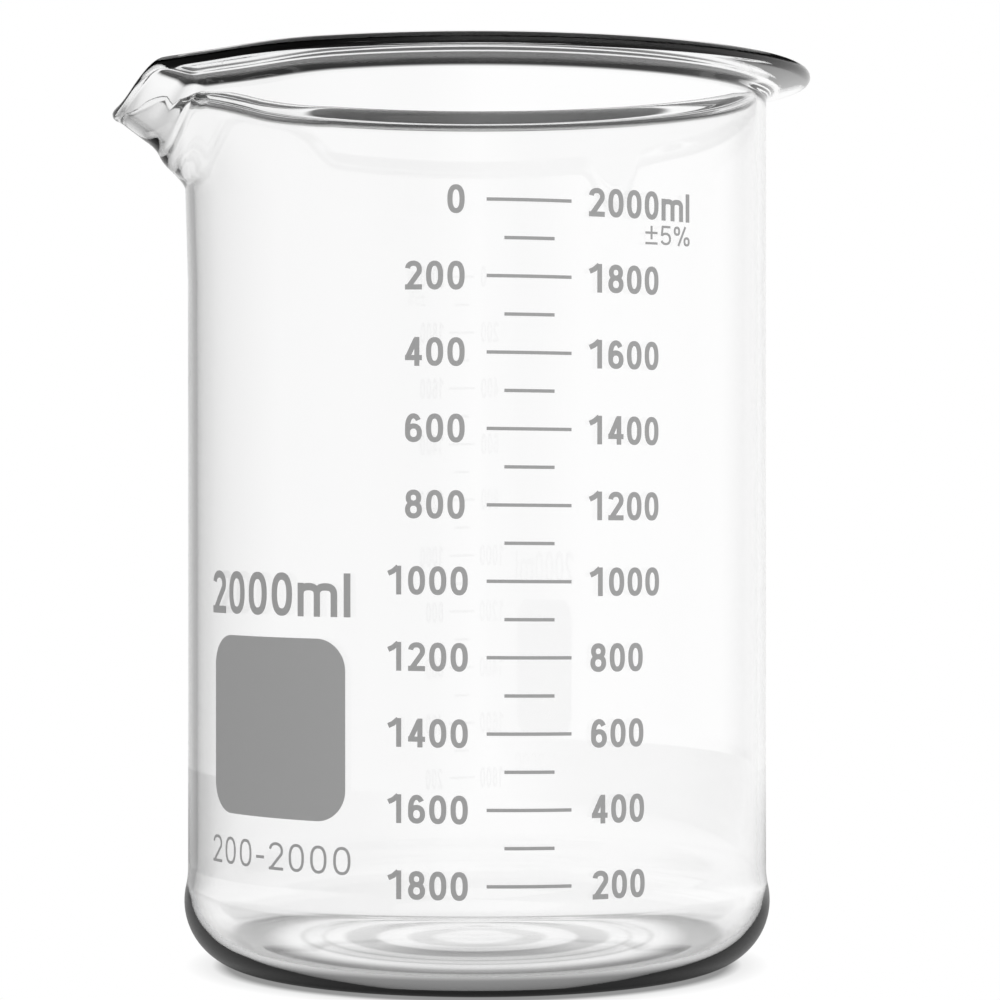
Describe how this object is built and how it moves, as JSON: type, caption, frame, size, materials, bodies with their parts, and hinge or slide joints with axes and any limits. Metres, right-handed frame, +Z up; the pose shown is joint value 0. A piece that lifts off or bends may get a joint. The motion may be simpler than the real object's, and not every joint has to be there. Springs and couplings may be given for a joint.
{
  "type": "griffin beaker",
  "caption": "Low-form glass laboratory beaker with a straight wall, a flared beaded rim, a pulled pouring spout, a rounded base and a printed volume scale.",
  "frame": {"origin": "centre of the base, on the plane of the standing ring", "axes": "+Z up the axis of the wall to the rim, the spout points to -X, and the scale faces -Y, a few degrees round towards +X"},
  "size_m": [0.1575, 0.1504, 0.2014],
  "materials": {
    "borosilicate_glass": "clear, blown and fire-polished",
    "grey_enamel": "fired enamel print, matt to satin"
  },
  "bodies": {
    "root": {"glass_beaker": "borosilicate_glass", "marking_patch": "grey_enamel", "graduation_lines": "grey_enamel"}
  },
  "joints": []
}
